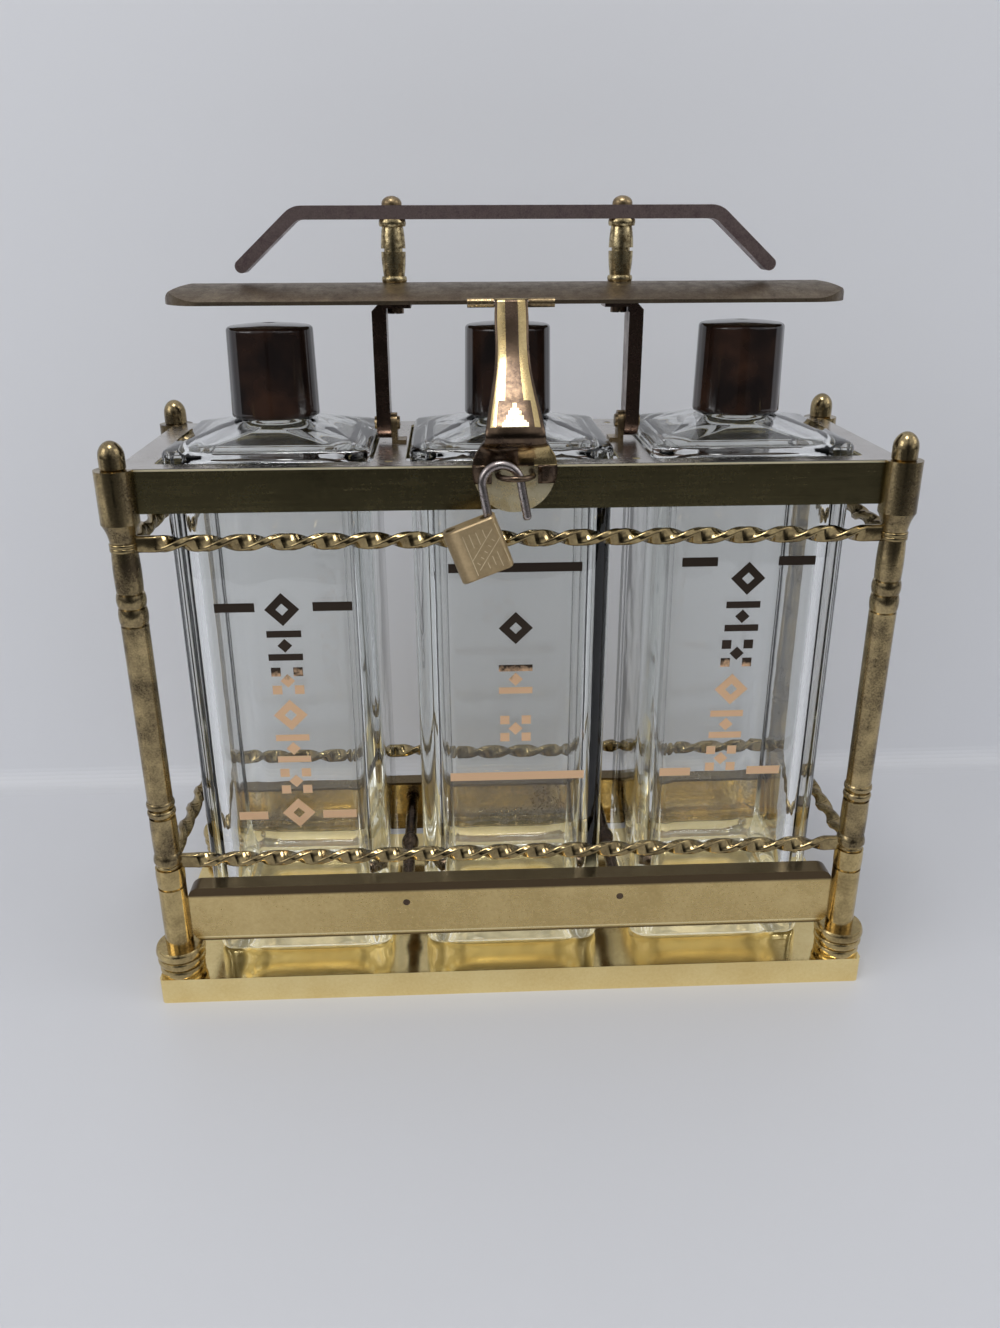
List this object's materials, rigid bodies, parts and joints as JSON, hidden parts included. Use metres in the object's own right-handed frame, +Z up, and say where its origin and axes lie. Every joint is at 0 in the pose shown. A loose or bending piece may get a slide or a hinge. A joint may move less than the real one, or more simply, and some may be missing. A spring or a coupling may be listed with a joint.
{
  "type": "tantalus",
  "caption": "Brass stand on turned posts that holds square decanters under a hinged, padlocked cover with a carrying handle.",
  "frame": {"origin": "middle of the base's underside, on the surface that the stand rests on", "axes": "+X along the length to the right as seen from the front, +Y to the back, +Z up"},
  "size_m": [0.3088, 0.1217, 0.3207],
  "materials": {
    "bright_brass": "polished",
    "aged_brass": "tarnished and mottled",
    "olive_brass": "dull olive tarnish",
    "dark_brass": "dark bronzed",
    "steel": "worn",
    "glass": "clear polished",
    "black_cap": "glossy",
    "liner": "matt",
    "board": "oiled"
  },
  "bodies": {
    "stand": {"base_pan": "bright_brass", "base_board": "board", "base_nuts": "dark_brass", "tie_rods": "steel", "foot_collars": "aged_brass", "lower_tubes": "aged_brass", "finials": "aged_brass", "upper_tray": "olive_brass", "front_band": "aged_brass", "back_band": "aged_brass", "bottle_spacers": "dark_brass", "hinge_ear_left": "aged_brass", "hinge_ear_right": "aged_brass", "pivot_rivets": "aged_brass", "staple": "dark_brass", "staple_plate": "bright_brass", "spindle_front_left": "aged_brass", "post_head_front_left": "aged_brass", "spindle_front_right": "aged_brass", "post_head_front_right": "aged_brass", "spindle_back_left": "aged_brass", "post_head_back_left": "aged_brass", "spindle_back_right": "aged_brass", "post_head_back_right": "aged_brass", "lower_front_bar": "dark_brass", "lower_back_bar": "dark_brass", "lower_left_bar": "dark_brass", "lower_right_bar": "dark_brass", "upper_front_bar": "dark_brass", "upper_back_bar": "dark_brass", "upper_left_bar": "dark_brass", "upper_right_bar": "dark_brass"},
    "cover": {"cover_strip": "olive_brass", "cover_upright_left": "aged_brass", "cover_upright_right": "aged_brass", "arch_bushes": "dark_brass", "under_nuts": "dark_brass", "handle_pillar_left": "aged_brass", "handle_pillar_right": "aged_brass", "handle_bar": "dark_brass", "handle_screws": "aged_brass", "hasp_hinge_leaf": "aged_brass", "hasp_pin": "steel"},
    "hasp": {"hasp": "bright_brass"},
    "shackle": {"shackle": "steel"},
    "lock_body": {"lock_body": "aged_brass"},
    "key_plug": {"key_plug": "bright_brass"},
    "latch": {"latch": "steel"},
    "decanter_left": {"decanter_left": "glass"},
    "cap_liner_left": {"cap_liner_left": "liner"},
    "cap_left": {"cap_left": "black_cap"},
    "decanter_middle": {"decanter_middle": "glass"},
    "cap_liner_middle": {"cap_liner_middle": "liner"},
    "cap_middle": {"cap_middle": "black_cap"},
    "decanter_right": {"decanter_right": "glass"},
    "cap_liner_right": {"cap_liner_right": "liner"},
    "cap_right": {"cap_right": "black_cap"}
  },
  "joints": [
    {"name": "cover_tilt", "type": "hinge", "parent": "stand", "child": "cover", "pos_m": [0, 0, 0.2375], "axis": [-1, 0, 0], "range_deg": [0, 75]},
    {"name": "hasp_swing", "type": "hinge", "parent": "cover", "child": "hasp", "pos_m": [0, -0.0242, 0.2843], "axis": [-1, 0, 0], "range_deg": [0, 16]},
    {"name": "padlock_swing", "type": "hinge", "parent": "stand", "child": "shackle", "pos_m": [-0.0054, -0.0588, 0.2276], "axis": [0, 1, 0], "range_deg": [0, 30]},
    {"name": "lock_turn", "type": "hinge", "parent": "shackle", "child": "lock_body", "pos_m": [-0.0094, -0.0588, 0.20998], "axis": [-0.1822, 0, 0.9833], "range_deg": [-5, 120]},
    {"name": "key_turn", "type": "hinge", "parent": "lock_body", "child": "key_plug", "pos_m": [-0.0101, -0.0588, 0.19257], "axis": [-0.3584, 0, 0.9336], "range_deg": [-2, 62]},
    {"name": "latch_slide", "type": "slide", "parent": "lock_body", "child": "latch", "axis": [0.9336, 0, 0.3584], "range_m": [0, 0.0015]},
    {"name": "decanter_lift_left", "type": "slide", "parent": "stand", "child": "decanter_left", "axis": [0, 0, 1], "range_m": [0, 0.005]},
    {"name": "cap_rise_left", "type": "slide", "parent": "decanter_left", "child": "cap_liner_left", "axis": [0, 0, 1], "range_m": [0, 0.003]},
    {"name": "cap_turn_left", "type": "hinge", "parent": "cap_liner_left", "child": "cap_left", "pos_m": [-0.092, 0, 0.26], "axis": [0, 0, 1], "range_deg": [-2, 272]},
    {"name": "decanter_lift_middle", "type": "slide", "parent": "stand", "child": "decanter_middle", "axis": [0, 0, 1], "range_m": [0, 0.005]},
    {"name": "cap_rise_middle", "type": "slide", "parent": "decanter_middle", "child": "cap_liner_middle", "axis": [0, 0, 1], "range_m": [0, 0.003]},
    {"name": "cap_turn_middle", "type": "hinge", "parent": "cap_liner_middle", "child": "cap_middle", "pos_m": [0, 0, 0.26], "axis": [0, 0, 1], "range_deg": [-2, 272]},
    {"name": "decanter_lift_right", "type": "slide", "parent": "stand", "child": "decanter_right", "axis": [0, 0, 1], "range_m": [0, 0.005]},
    {"name": "cap_rise_right", "type": "slide", "parent": "decanter_right", "child": "cap_liner_right", "axis": [0, 0, 1], "range_m": [0, 0.003]},
    {"name": "cap_turn_right", "type": "hinge", "parent": "cap_liner_right", "child": "cap_right", "pos_m": [0.092, 0, 0.26], "axis": [0, 0, 1], "range_deg": [-2, 272]}
  ],
  "couplings": [
    {"joint": "hasp_swing", "follows": "cover_tilt", "ratio": 0.2},
    {"joint": "key_turn", "follows": "latch_slide", "rad_per_m": 698.13},
    {"joint": "cap_turn_left", "follows": "cap_rise_left", "rad_per_m": 1570.8},
    {"joint": "cap_turn_middle", "follows": "cap_rise_middle", "rad_per_m": 1570.8},
    {"joint": "cap_turn_right", "follows": "cap_rise_right", "rad_per_m": 1570.8}
  ]
}
